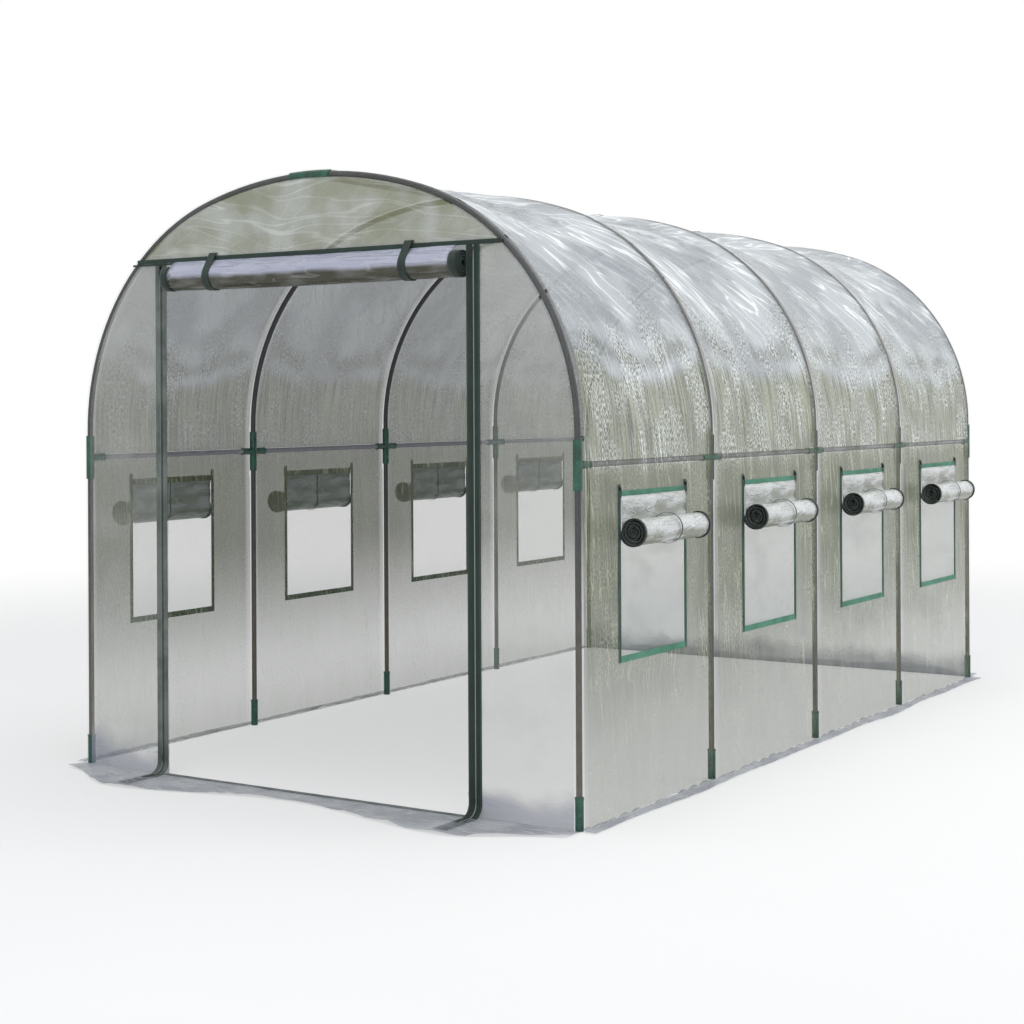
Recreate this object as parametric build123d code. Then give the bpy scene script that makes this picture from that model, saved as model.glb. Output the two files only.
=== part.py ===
from build123d import *
from math import atan2, cos, degrees, hypot, radians, sin, sqrt
import os

# A walk-in tunnel greenhouse: five tube hoops joined by moulded connectors and
# three long rails, under a clear film cover. The front has a doorway whose film
# door is rolled up under the cross seam. Each long wall has a net window in
# every bay, with its film flap rolled up and tied above the net.
# X runs across the tunnel, Y along it with the door at -Y, Z up from the ground.
# All sizes are in millimetres.

# Tunnel
tunnel_width = 2000
tunnel_height = 2000
bay_length = 870
bay_count = 4
leg_height = 1160
shoulder_turn = 72
rail_drop = 90

# Tubes
tube_diameter = 19
tube_gap = 4
seat_gap = 0.3

# Moulded connectors
sleeve_diameter = 28
sleeve_length = 150
ring_width = 8
ring_rise = 1.5
branch_length = 66
branch_root = 26
branch_tip = 23
branch_bore_start = 14
ridge_sleeve_length = 160
foot_diameter = 26
foot_height = 98
foot_floor = 4
foot_rim = 28
foot_rim_height = 6

# Film cover
film = 2
flap_root = 40
flap_lobe = 235
flap_middle = 110
lobe_place = 640
side_flap_width = 45
corner_gap = 6

# Doorway
crossbar_drop = 260
crossbar_depth = 14
crossbar_thickness = 3
door_width = 1225
jamb_width = 48
binding = 2
zip_width = 6
zip_rise = 1.5
jamb_bend = 40
jamb_run = 150
sill_width = 20

# Rolled door
door_roll_radius = 44
door_roll_end_gap = 12
door_roll_drop = 62
door_end_width = 26
door_end_rise = 2.5
door_strap_width = 29
door_strap_thickness = 1.6
door_strap_spacing = 800
door_strap_rise = 9

# Windows
window_width = 420
window_height = 480
window_drop = 105
window_tape = 20
window_zip = 14
window_zip_overrun = 20

# Rolled window flaps
flap_roll_radius = 47
flap_roll_overhang = 10
flap_roll_drop = 102
flap_roll_core = 9
roll_end_width = 9
roll_turns = 3
strap_width = 6
strap_thickness = 2

# Places that follow from the sizes
tube_radius = tube_diameter / 2
sleeve_radius = sleeve_diameter / 2
half_span = tunnel_width / 2 - tube_radius
crown_height = tunnel_height - tube_radius
film_offset = sleeve_radius + seat_gap
end_y = bay_count * bay_length / 2
end_inner = end_y + film_offset
end_outer = end_inner + film
wall_inner = half_span + film_offset
wall_outer = wall_inner + film
rail_height = leg_height - rail_drop
crossbar_height = tunnel_height - crossbar_drop
window_top = rail_height - window_drop
hoop_places = [i * bay_length - end_y for i in range(bay_count + 1)]
bay_places = [i * bay_length - end_y + bay_length / 2 for i in range(bay_count)]
bore_radius = tube_radius + seat_gap


# The hoop curve: straight legs, two shoulder arcs and one wide crown arc between them
turn = radians(shoulder_turn)
widening = (half_span - crown_height + leg_height) / (cos(turn) + sin(turn) - 1)
shoulder_radius = half_span - widening * cos(turn)
crown_radius = shoulder_radius + widening
crown_centre = crown_height - crown_radius
shoulder_x = half_span - shoulder_radius


def crown_run(offset, start, span):
    return CenterArc((0, crown_centre), crown_radius + offset, start, span)


def arch_edges(offset, base):
    side = half_span + offset
    radius = shoulder_radius + offset
    return [
        Line((side, base), (side, leg_height)),
        CenterArc((shoulder_x, leg_height), radius, 0, shoulder_turn),
        crown_run(offset, shoulder_turn, 180 - 2 * shoulder_turn),
        CenterArc((-shoulder_x, leg_height), radius, 180 - shoulder_turn, shoulder_turn),
        Line((-side, leg_height), (-side, base)),
    ]


def across(y):
    """The upright plane across the tunnel at y, with its own x along X and y along Z."""
    return Plane(origin=(0, y, 0), x_dir=(1, 0, 0), z_dir=(0, -1, 0))


def lengthways(x):
    """The upright plane along the tunnel at x, with its own x along Y and y along Z."""
    return Plane(origin=(x, 0, 0), x_dir=(0, 1, 0), z_dir=(1, 0, 0))


def arch_face(offset, base):
    side = half_span + offset
    return make_face(arch_edges(offset, base) + [Line((-side, base), (side, base))])


def arch_band(offset, thickness, base):
    inner = half_span + offset
    outer = inner + thickness
    return make_face(
        arch_edges(offset, base)
        + arch_edges(offset + thickness, base)
        + [Line((inner, base), (outer, base)), Line((-inner, base), (-outer, base))]
    )


def slab(x0, x1, y0, y1, z0, z1):
    centre = ((x0 + x1) / 2, (y0 + y1) / 2, (z0 + z1) / 2)
    return Pos(*centre) * Box(x1 - x0, y1 - y0, z1 - z0)


def tube_along(path, radius):
    start = Plane(origin=path @ 0, z_dir=path % 0)
    return sweep(start * Circle(radius), path=path)


def upright(radius, height):
    """A round bar that stands on its own origin."""
    return Cylinder(radius, height, align=(Align.CENTER, Align.CENTER, Align.MIN))


def mirrored(part):
    return mirror(part, about=Plane.YZ)


def both_mirrored(solids):
    return [mirrored(solid) for solid in solids]


def write(name, *solids):
    whole = solids[0] if len(solids) == 1 else Compound(children=list(solids))
    whole.label = name
    export_step(whole, f"parts/{name}.step")


# Frame tubes
def crown_tube(y):
    """The bent tube from the side connector up over the shoulder to the ridge."""
    stop = degrees(tube_gap / 2 / crown_radius)
    path = Wire(
        [
            Line((half_span, rail_height + tube_gap / 2), (half_span, leg_height)),
            CenterArc((shoulder_x, leg_height), shoulder_radius, 0, shoulder_turn),
            crown_run(0, shoulder_turn, 90 - stop - shoulder_turn),
        ]
    )
    return tube_along(across(y).from_local_coords(path), tube_radius)


def leg_tube(y):
    base = foot_floor + seat_gap
    height = rail_height - tube_gap / 2 - base
    return Pos(half_span, y, base) * upright(tube_radius, height)


def hoop(y):
    right = [leg_tube(y), crown_tube(y)]
    return right + [mirrored(tube) for tube in right]


def rail(x, z):
    """Straight tubes from one connector's branch to the next, one in each bay."""
    length = bay_length - 2 * (branch_bore_start + seat_gap)
    return [Pos(x, y, z) * Rot(90, 0, 0) * Cylinder(tube_radius, length) for y in bay_places]


# Moulded connectors
def branch(direction):
    """One tapered socket that leaves a sleeve's side along the tunnel."""
    turn = Rot(-90 * direction, 0, 0)
    foot = (Align.CENTER, Align.CENTER, Align.MIN)
    horn = Cone(branch_root / 2, branch_tip / 2, branch_length, align=foot)
    lip = Pos(0, 0, branch_length - ring_width) * upright(branch_tip / 2 + ring_rise, ring_width)
    bore = Pos(0, 0, branch_bore_start) * upright(bore_radius, branch_length)
    return turn * (horn + lip), turn * bore


def branch_directions(place):
    directions = []
    if place > 0:
        directions.append(-1)
    if place < bay_count:
        directions.append(1)
    return directions


def side_connector(place):
    """A sleeve round the hoop at rail height, with a socket for each rail."""
    body = Cylinder(sleeve_radius, sleeve_length)
    bore = Cylinder(bore_radius, sleeve_length)
    stop = Cylinder(bore_radius + seat_gap, tube_gap - 2 * seat_gap)
    sockets = Part()
    for direction in branch_directions(place):
        horn, socket = branch(direction)
        body += horn
        sockets += socket
    whole = (body - bore) + stop - sockets
    return Pos(half_span, hoop_places[place], rail_height) * whole


def ridge_connector(place):
    """A curved sleeve that joins the two crown tubes, with sockets for the ridge rail."""
    spread = degrees(ridge_sleeve_length / crown_radius)
    path = across(0).from_local_coords(crown_run(0, 90 - spread / 2, spread))
    body = tube_along(path, sleeve_radius)
    bore = tube_along(path, bore_radius)
    plug = Cylinder(bore_radius + seat_gap, tube_gap - 2 * seat_gap)
    stop = Pos(0, 0, crown_height) * Rot(0, 90, 0) * plug
    sockets = Part()
    for direction in branch_directions(place):
        horn, socket = branch(direction)
        body += Pos(0, 0, crown_height) * horn
        sockets += Pos(0, 0, crown_height) * socket
    return Pos(0, hoop_places[place], 0) * ((body - bore) + stop - sockets)


def foot_sleeve(y):
    """The closed cup that the leg stands in."""
    cup = upright(foot_diameter / 2, foot_height)
    rim = Pos(0, 0, foot_height - foot_rim_height) * upright(foot_rim / 2, foot_rim_height)
    bore = Pos(0, 0, foot_floor) * upright(bore_radius, foot_height)
    return Pos(half_span, y, 0) * (cup + rim - bore)


# Film cover
def roof_film(bay):
    """One bay of the arched cover, with the end bays run on to the end films."""
    start = hoop_places[bay] if bay > 0 else -end_inner
    finish = hoop_places[bay + 1] if bay < bay_count - 1 else end_inner
    return extrude(across(finish) * arch_band(film_offset, film, rail_height), finish - start)


def wall_film(bays):
    """The upright film of one long wall, cut out at every window."""
    wall = slab(wall_inner, wall_outer, -end_inner, end_inner, 0, rail_height)
    for y in bays:
        half = window_width / 2
        wall -= slab(wall_inner, wall_outer, y - half, y + half, window_top - window_height, window_top)
    return wall


def end_film(outline):
    return extrude(across(-end_inner) * outline, film)


def front_films():
    """The front's three sheets: over the cross seam, and at each side of the doorway."""
    outline = arch_face(film_offset + film, 0)
    half_door = door_width / 2
    below = Pos(0, crossbar_height / 2) * Rectangle(3 * tunnel_width, crossbar_height)
    over = outline - below
    doorway_and_left = Pos(half_door - tunnel_width, tunnel_height / 2) * Rectangle(
        2 * tunnel_width, 2 * tunnel_height
    )
    right = outline - over - doorway_and_left
    return end_film(over), mirrored(end_film(right)), end_film(right)


def end_flap():
    """The film that runs on from the front along the ground, deepest beside the jambs."""
    front = -end_outer
    side = wall_outer
    edge = Spline(
        (side, front - flap_root),
        (lobe_place, front - flap_lobe),
        (0, front - flap_middle),
        (-lobe_place, front - flap_lobe),
        (-side, front - flap_root),
    )
    outline = make_face(
        [
            edge,
            Line((side, front), (side, front - flap_root)),
            Line((-side, front), (-side, front - flap_root)),
            Line((-side, front), (side, front)),
        ]
    )
    return extrude(outline, film)


def side_flap():
    """The narrow hem of the long wall's film on the ground."""
    reach = end_inner - corner_gap
    return slab(wall_outer, wall_outer + side_flap_width, -reach, reach, 0, film)


# Doorway
def crossbar():
    """The tape along the cross seam, from shoulder to shoulder of the front hoop."""
    shoulder_z = crossbar_height - leg_height
    reach = shoulder_x + sqrt(shoulder_radius**2 - shoulder_z**2)
    half = crossbar_depth / 2
    front = -end_outer - crossbar_thickness
    return slab(-reach, reach, front, -end_outer, crossbar_height - half, crossbar_height + half)


def jamb():
    """The doubled zip tape beside the doorway, bent forward along the ground flap."""
    x = (door_width + jamb_width) / 2
    top = crossbar_height - crossbar_depth / 2
    low = film + binding / 2
    back = -end_outer - binding / 2
    front = back - jamb_bend
    corner = Pos(front, low + jamb_bend) * CenterArc((0, 0), jamb_bend, 0, -90)
    path = Wire(
        [
            Line((x, back, top), (x, back, low + jamb_bend)),
            lengthways(x).from_local_coords(corner),
            Line((x, front, low), (x, front - jamb_run, low)),
        ]
    )
    start = Plane(origin=path @ 0, x_dir=(1, 0, 0), z_dir=path % 0)
    tape = Rectangle(jamb_width, binding)
    coil = Pos(0, (binding + zip_rise) / 2) * Rectangle(zip_width, zip_rise)
    section = start * (tape + coil)
    return sweep(section, path=path)


def sill():
    """The tape along the ground between the jambs."""
    half = door_width / 2
    return slab(-half, half, -end_outer - sill_width, -end_outer, film, film + binding)


# Rolled door
roll_y = -(end_inner + end_outer) / 2
roll_z = crossbar_height - door_roll_drop
roll_half = door_width / 2 - door_roll_end_gap


def door_roll():
    """The film door, rolled up, with the last of its sheet hanging from the seam."""
    height = crossbar_height - crossbar_depth / 2 - roll_z
    tangent = degrees(atan2(sqrt(height**2 - door_roll_radius**2), door_roll_radius))
    touch = (door_roll_radius * sin(radians(tangent)) * -1, door_roll_radius * cos(radians(tangent)))
    lean = degrees(atan2(height - touch[1], -touch[0]))
    length = hypot(height - touch[1], touch[0])
    sheet = Pos(touch[0] / 2, (height + touch[1]) / 2) * Rot(0, 0, lean) * Rectangle(length, film)
    section = Circle(door_roll_radius) + sheet
    flat_top = Pos(0, height + door_roll_radius) * Rectangle(4 * door_roll_radius, 2 * door_roll_radius)
    inner = roll_half - door_end_width
    return extrude(lengthways(-inner) * Pos(roll_y, roll_z) * (section - flat_top), 2 * inner)


def roll_end(radius, width, turns, core):
    """A bound end: a disc with the spiral edge of the rolled sheet standing out."""
    pitch = (radius - core) / turns
    rings = Part()
    for i in range(turns):
        outer = radius - i * pitch
        rings += upright(outer, width) - upright(outer - pitch / 2, width)
    return rings + upright(radius, width / 2)


def door_roll_ends():
    radius = door_roll_radius + door_end_rise
    end = roll_end(radius, door_end_width, roll_turns, flap_roll_core)
    right = Pos(roll_half - door_end_width, roll_y, roll_z) * Rot(0, 90, 0) * end
    return [right, mirrored(right)]


def door_strap(x):
    """A tie sewn at the cross seam and passed round the roll."""
    clear = seat_gap
    half = crossbar_depth / 2 + door_strap_rise
    reach = film / 2 + crossbar_thickness + clear
    bar = Pos(0, crossbar_height - roll_z) * Rectangle(2 * reach, 2 * half)
    ring = Circle(door_roll_radius + clear)
    inner = make_hull(bar.edges() + ring.edges())
    band = offset(inner, door_strap_thickness) - inner
    slot = Pos(0, crossbar_height - roll_z + half) * Rectangle(film, 2 * half)
    plane = lengthways(x - door_strap_width / 2)
    return extrude(plane * Pos(roll_y, roll_z) * (band - slot), door_strap_width)


# Windows
def window_net(y):
    half = window_width / 2
    return slab(wall_inner, wall_outer, y - half, y + half, window_top - window_height, window_top)


def window_tapes(y):
    """The four tapes round one window: zips at the sides, wider tape above and below."""
    half = window_width / 2
    bottom = window_top - window_height
    face = wall_outer + binding
    top = slab(wall_outer, face, y - half, y + half, window_top, window_top + window_tape)
    low = slab(wall_outer, face, y - half, y + half, bottom - window_tape, bottom)
    whole = top + low
    zip_top = window_top + window_tape + window_zip_overrun
    for edge in (y - half - window_zip, y + half):
        whole += slab(wall_outer, face, edge, edge + window_zip, bottom - window_tape, zip_top)
    return whole


flap_roll_x = wall_outer + binding + seat_gap + flap_roll_radius
flap_roll_z = window_top - flap_roll_drop
flap_roll_half = window_width / 2 + flap_roll_overhang


def window_roll(y):
    """The window's film flap, rolled up, with its upper part flat against the wall."""
    half = window_width / 2 - seat_gap
    roll = Circle(flap_roll_radius)
    sheet = Pos(-flap_roll_radius + film / 2, flap_roll_drop / 2) * Rectangle(film, flap_roll_drop)
    inner = flap_roll_half - roll_end_width
    plane = across(y + inner)
    body = extrude(plane * Pos(flap_roll_x, flap_roll_z) * roll, 2 * inner)
    hung = extrude(across(y + half) * Pos(flap_roll_x, flap_roll_z) * sheet, 2 * half)
    return body + hung


def window_roll_ends(y):
    radius = flap_roll_radius
    end = roll_end(radius, roll_end_width, roll_turns, flap_roll_core)
    far = Pos(flap_roll_x, y + flap_roll_half - roll_end_width, flap_roll_z) * Rot(-90, 0, 0) * end
    near = Pos(flap_roll_x, y - flap_roll_half + roll_end_width, flap_roll_z) * Rot(90, 0, 0) * end
    return [far, near]


def window_strap(y):
    """The elastic tie: down from the window's top tape, round the front and under the roll."""
    inner = flap_roll_radius + seat_gap
    outer = inner + strap_thickness
    tail_x = -flap_roll_radius + film + seat_gap
    ring = Circle(outer) - Circle(inner)
    back = Pos(-outer, outer / 2) * Rectangle(2 * (outer + tail_x), 3 * outer)
    tail_low = sqrt(inner**2 - tail_x**2)
    tail = Pos(tail_x + strap_thickness / 2, (tail_low + flap_roll_drop) / 2) * Rectangle(
        strap_thickness, flap_roll_drop - tail_low
    )
    section = (ring - back) + tail - Circle(inner)
    plane = across(y + strap_width / 2)
    return extrude(plane * Pos(flap_roll_x, flap_roll_z) * section, strap_width)


def build():
    os.makedirs("parts", exist_ok=True)
    for number, y in enumerate(hoop_places, start=1):
        write(f"hoop_{number}", *hoop(y))
    places = range(bay_count + 1)
    side_joints = [side_connector(place) for place in places]
    write("right_side_connectors", *side_joints)
    write("left_side_connectors", *both_mirrored(side_joints))
    write("ridge_connectors", *[ridge_connector(place) for place in places])
    feet = [foot_sleeve(y) for y in hoop_places]
    write("right_foot_sleeves", *feet)
    write("left_foot_sleeves", *both_mirrored(feet))
    side_rail = rail(half_span, rail_height)
    write("right_side_rail", *side_rail)
    write("left_side_rail", *both_mirrored(side_rail))
    write("ridge_rail", *rail(0, crown_height))

    for bay in range(bay_count):
        write(f"roof_film_{bay + 1}", roof_film(bay))
    wall = wall_film(bay_places)
    write("right_wall_film", wall)
    write("left_wall_film", mirrored(wall))
    over, left, right = front_films()
    write("front_film_over_door", over)
    write("front_film_left", left)
    write("front_film_right", right)
    write("back_film", Pos(0, 2 * end_inner + film, 0) * end_film(arch_face(film_offset + film, 0)))
    flap = end_flap()
    write("front_ground_flap", flap)
    write("back_ground_flap", mirror(flap, about=Plane.XZ))
    write("right_ground_flap", side_flap())
    write("left_ground_flap", mirrored(side_flap()))

    write("cross_seam_tape", crossbar())
    write("right_door_zip", jamb())
    write("left_door_zip", mirrored(jamb()))
    write("door_sill_tape", sill())
    write("door_roll", door_roll())
    write("door_roll_ends", *door_roll_ends())
    straps = [door_strap(side * door_strap_spacing / 2) for side in (-1, 1)]
    write("door_roll_straps", *straps)

    sides = {"right": list, "left": both_mirrored}
    pieces = {
        "window_nets": [window_net(y) for y in bay_places],
        "window_tapes": [window_tapes(y) for y in bay_places],
        "window_rolls": [window_roll(y) for y in bay_places],
        "window_roll_ends": [end for y in bay_places for end in window_roll_ends(y)],
        "window_straps": [window_strap(y) for y in bay_places],
    }
    for side, place in sides.items():
        for name, solids in pieces.items():
            write(f"{side}_{name}", *place(solids))


build()
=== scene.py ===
import math
import random
from contextlib import contextmanager

import bmesh
import bpy
from mathutils import Matrix, Vector, noise
from mathutils.geometry import delaunay_2d_cdt

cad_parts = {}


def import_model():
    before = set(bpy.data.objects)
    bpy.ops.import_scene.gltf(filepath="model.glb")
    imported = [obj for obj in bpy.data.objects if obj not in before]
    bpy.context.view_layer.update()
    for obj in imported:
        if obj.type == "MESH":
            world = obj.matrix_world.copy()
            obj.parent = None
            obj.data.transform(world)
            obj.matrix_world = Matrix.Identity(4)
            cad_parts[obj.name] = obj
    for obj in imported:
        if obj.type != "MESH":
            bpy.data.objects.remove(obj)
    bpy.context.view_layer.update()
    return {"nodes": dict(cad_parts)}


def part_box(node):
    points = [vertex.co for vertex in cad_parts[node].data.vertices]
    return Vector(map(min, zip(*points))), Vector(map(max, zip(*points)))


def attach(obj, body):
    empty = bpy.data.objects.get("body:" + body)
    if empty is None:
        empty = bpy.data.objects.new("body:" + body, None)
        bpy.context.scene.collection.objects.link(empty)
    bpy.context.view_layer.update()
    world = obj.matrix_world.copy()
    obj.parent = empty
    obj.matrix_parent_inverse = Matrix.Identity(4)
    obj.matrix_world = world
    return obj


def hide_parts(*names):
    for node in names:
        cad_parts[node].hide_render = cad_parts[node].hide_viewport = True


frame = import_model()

# Tunnel greenhouse: the finishes of its frame, and its film cover, rolled door,
# window flaps, nets, tapes and zips as the real pieces lie. All sizes are in metres.

bpy.ops.object.select_all(action="DESELECT")

# Directions
upwards = Vector((0, 0, 1))
rightwards = Vector((1, 0, 0))
forwards = Vector((0, -1, 0))
sides = (("right", 1), ("left", -1))

# Frame sizes
tube_radius = 0.0095
leg_height = 1.16
shoulder_turn = math.radians(72)
bay_length = 0.87
bay_count = 4
hoop_low, hoop_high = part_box("hoop_1")
half_span = hoop_high.x - tube_radius
crown_height = hoop_high.z - tube_radius
front_y = (hoop_low.y + hoop_high.y) / 2
rail_low, rail_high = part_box("right_side_rail")
rail_height = (rail_low.z + rail_high.z) / 2
widening = (half_span - crown_height + leg_height) / (math.cos(shoulder_turn) + math.sin(shoulder_turn) - 1)
shoulder_radius = half_span - widening * math.cos(shoulder_turn)
crown_radius = shoulder_radius + widening
crown_centre = crown_height - crown_radius
shoulder_x = half_span - shoulder_radius
bay_places = [front_y + bay_length * (i + 0.5) for i in range(bay_count)]
hoop_places = [front_y + bay_length * i for i in range(bay_count + 1)]

# Film: how far it stands out from the tubes' middle, and its sag at each run down from the ridge
film_thickness = 0.0009
cover_offset = 0.0112
tube_seat = 0.0102
taped_offset = 0.0153
sleeve_seat = 0.0166
cover_sag = [
    (0, 0.002), (0.12, 0.016), (0.36, 0.040), (0.85, 0.033),
    (1.3, 0.012), (1.57, 0.001), (2.0, 0.008), (2.6, 0.001),
]
film_cell = 0.0202
panel_cell = 0.026
hem_cell = 0.017
ground_rest = 0.0012

# Doorway and windows, from their nodes
seam_low, seam_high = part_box("cross_seam_tape")
seam_z = (seam_low.z + seam_high.z) / 2
jamb_low, jamb_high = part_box("right_door_zip")
door_half = jamb_low.x
jamb_width = jamb_high.x - jamb_low.x
jamb_tape_front = -1.7583
film_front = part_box("front_film_right")[0].y
net_low, net_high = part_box("right_window_nets")
window_width = 0.42
window_low, window_high = net_low.z, net_high.z
wall_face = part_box("right_wall_film")[1].x
zip_gap = 0.007

# Rolls
window_roll_radius = 0.046
window_roll_half = 0.047
window_film_wound = 0.50
door_roll_radius = 0.0435
door_film_wound = 1.62
door_binding_width = 0.026


def srgb(red, green, blue):
    """A colour in 0 to 255 steps, as the linear colour that a shader takes."""
    def straight(step):
        share = step / 255
        return share / 12.92 if share <= 0.04045 else ((share + 0.055) / 1.055) ** 2.4
    return (straight(red), straight(green), straight(blue), 1)


class Nodes:
    """A node tree, with short names for the nodes that finishes are made of."""

    def __init__(self, owner):
        owner.use_nodes = True
        self.tree = owner.node_tree
        self.tree.nodes.clear()

    def add(self, kind, inputs=None, **settings):
        node = self.tree.nodes.new("ShaderNode" + kind)
        for name, value in settings.items():
            setattr(node, name, value)
        for place, value in (inputs or {}).items():
            self.put(node.inputs[place], value)
        return node

    def put(self, socket, value):
        if isinstance(value, bpy.types.NodeSocket):
            self.tree.links.new(value, socket)
        else:
            socket.default_value = value

    def maths(self, operation, *values, clamp=False):
        node = self.add("Math", dict(enumerate(values)), operation=operation, use_clamp=clamp)
        return node.outputs[0]

    def times(self, first, second):
        return self.maths("MULTIPLY", first, second)

    def times_plus(self, first, second, third, clamp=False):
        return self.maths("MULTIPLY_ADD", first, second, third, clamp=clamp)

    def minus(self, first, second):
        return self.maths("SUBTRACT", first, second)

    def gap(self, first, second):
        """How far two values are apart."""
        return self.maths("ABSOLUTE", self.minus(first, second))

    def seen(self):
        """1 for what is seen straight, mirrored or through film, and 0 for what only lights."""
        paths = self.add("LightPath").outputs
        sharp = self.maths("MAXIMUM", paths["Is Glossy Ray"], paths["Is Transmission Ray"])
        return self.maths("MAXIMUM", paths["Is Camera Ray"], sharp)


class Finish(Nodes):
    """One procedural material and the nodes that make it."""

    def __init__(self, name, roughness=0.5, metallic=0.0, sheen=0.0):
        self.material = bpy.data.materials.new(name)
        super().__init__(self.material)
        self.output = self.add("OutputMaterial")
        gloss = {"Roughness": roughness, "Metallic": metallic, "Sheen Weight": sheen}
        self.skin = self.add("BsdfPrincipled", gloss)
        self.put(self.output.inputs["Surface"], self.skin.outputs[0])

    def place(self):
        return self.add("TexCoord").outputs["Object"]

    def cloth(self):
        return self.add("UVMap").outputs[0]

    def split(self, vector):
        return self.add("SeparateXYZ", {0: vector}).outputs

    def joined(self, x, y, z=0.0):
        return self.add("CombineXYZ", {0: x, 1: y, 2: z}).outputs[0]

    def scaled(self, vector, x, y, z=1.0):
        return self.add("Mapping", {"Vector": vector, "Scale": (x, y, z)}).outputs[0]

    def noise(self, vector, scale=1.0, detail=2.0, rough=0.5, **settings):
        inputs = {"Vector": vector, "Scale": scale, "Detail": detail, "Roughness": rough}
        return self.add("TexNoise", inputs, **settings).outputs["Fac"]

    def flat_noise(self, vector, scale=1.0, detail=0.0, rough=0.5):
        """Noise over a flat sheet's two directions."""
        return self.noise(vector, scale, detail, rough, noise_dimensions="2D")

    def streaks(self, vector, angle, length, spacing, shift=0.0, detail=1.0):
        """Noise drawn out along an angle, of about a length and spacing."""
        inputs = {
            "Vector": vector,
            "Location": (shift, shift, 0),
            "Rotation": (0, 0, math.radians(angle)),
            "Scale": (length, spacing, 1),
        }
        laid = self.add("Mapping", inputs, vector_type="TEXTURE").outputs[0]
        return self.flat_noise(laid, 1.0, detail)

    def steps(self, value, low, high, start=0.0, end=1.0):
        """A smooth rise from start to end while value goes from low to high."""
        inputs = {"Value": value, "From Min": low, "From Max": high, "To Min": start, "To Max": end}
        return self.add("MapRange", inputs, interpolation_type="SMOOTHSTEP").outputs[0]

    def crease(self, value, width):
        """A thin bright line wherever a noise crosses its middle."""
        return self.maths("POWER", self.steps(self.gap(value, 0.5), 0.0, width, 1.0, 0.0), 2.0)

    def creases(self, vector, angle, length, spacing, width, shift=0.0, detail=1.0):
        """Creases that run at an angle, of about a length, spacing and width."""
        return self.crease(self.streaks(vector, angle, length, spacing, shift, detail), width)

    def mix(self, share, first, second):
        node = self.add("Mix", {"Factor": share, 6: first, 7: second}, data_type="RGBA")
        return node.outputs[2]

    def blend(self, value, low, high, first, second):
        """The first colour where value is low, turning to the second where it is high."""
        return self.mix(self.steps(value, low, high), first, second)

    def bump(self, height, distance, strength=1.0):
        inputs = {"Height": height, "Distance": distance, "Strength": strength}
        self.put(self.skin.inputs["Normal"], self.add("Bump", inputs).outputs[0])

    def colour(self, value):
        self.put(self.skin.inputs["Base Color"], value)

    def rough(self, value):
        self.put(self.skin.inputs["Roughness"], value)

    def alpha(self, value):
        self.put(self.skin.inputs["Alpha"], value)


# Film
def hoop_distance(f, y):
    """How far a place along the tunnel lies from the nearest hoop."""
    return f.maths("PINGPONG", f.minus(y, front_y), bay_length / 2)


def seated_share(f, from_hoop, y, z):
    """How hazy the film looks: a little clearer where it is pressed on a tube, and rising beside it."""
    pressed = f.steps(from_hoop, 0.0065, 0.0095, f.steps(z, 1.15, 1.4, 0.6, 0.85), 1.0)
    beside = f.steps(from_hoop, 0.018, 0.045, 0.80, 1.0)
    from_rail = f.gap(z, rail_height)
    on_rail = f.steps(from_rail, 0.0085, 0.0115, 0.45, 1.0)
    past_end = f.steps(f.maths("ABSOLUTE", y), hoop_places[-1] - 0.014, hoop_places[-1] - 0.010, 1.0, 0.12)
    return f.times(f.times(pressed, beside), f.times(on_rail, past_end))


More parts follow.
